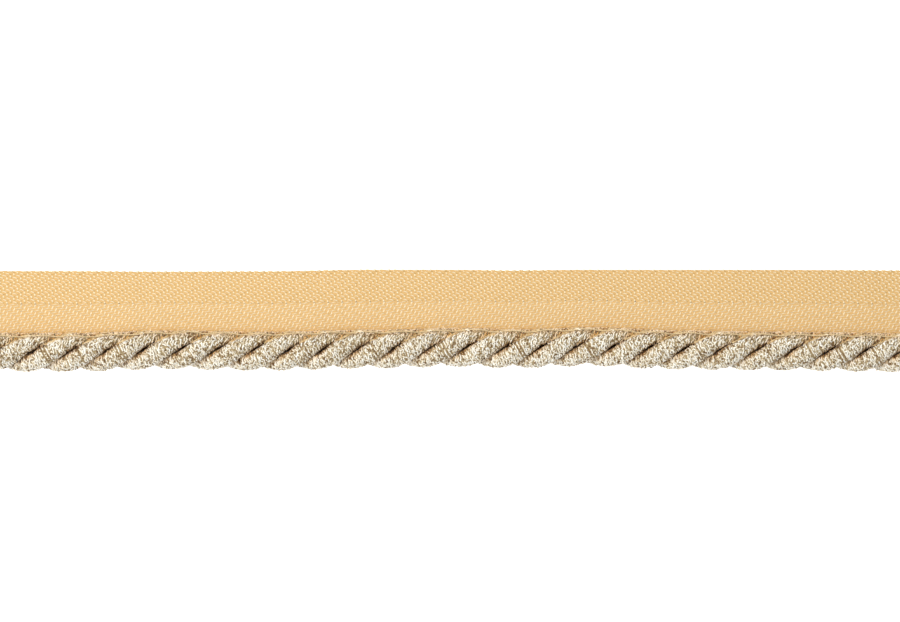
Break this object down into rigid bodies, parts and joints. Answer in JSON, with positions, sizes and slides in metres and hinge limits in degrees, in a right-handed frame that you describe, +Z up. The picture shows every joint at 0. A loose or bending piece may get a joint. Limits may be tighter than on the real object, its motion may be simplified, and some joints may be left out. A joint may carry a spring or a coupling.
{
  "type": "flanged decorative cord",
  "caption": "Cut length of twisted decorative cord with a flat herringbone tape sewn along one side, for insertion into a seam.",
  "frame": {"origin": "middle of the base of the piece, on the surface it lies on", "axes": "+X along the cord, +Y from the cord towards the tape's selvedge, +Z up from the surface"},
  "size_m": [0.194, 0.0206, 0.0082],
  "materials": {
    "cord_yarn": "fine crimped linen-coloured yarn wound round each strand, softly lustrous",
    "tape_yarn": "pale apricot herringbone twill, slightly lustrous floats",
    "catch_thread": "fine twisted beige sewing thread"
  },
  "bodies": {
    "root": {"strand_1": "cord_yarn", "strand_2": "cord_yarn", "strand_3": "cord_yarn", "tape": "tape_yarn"}
  },
  "joints": []
}
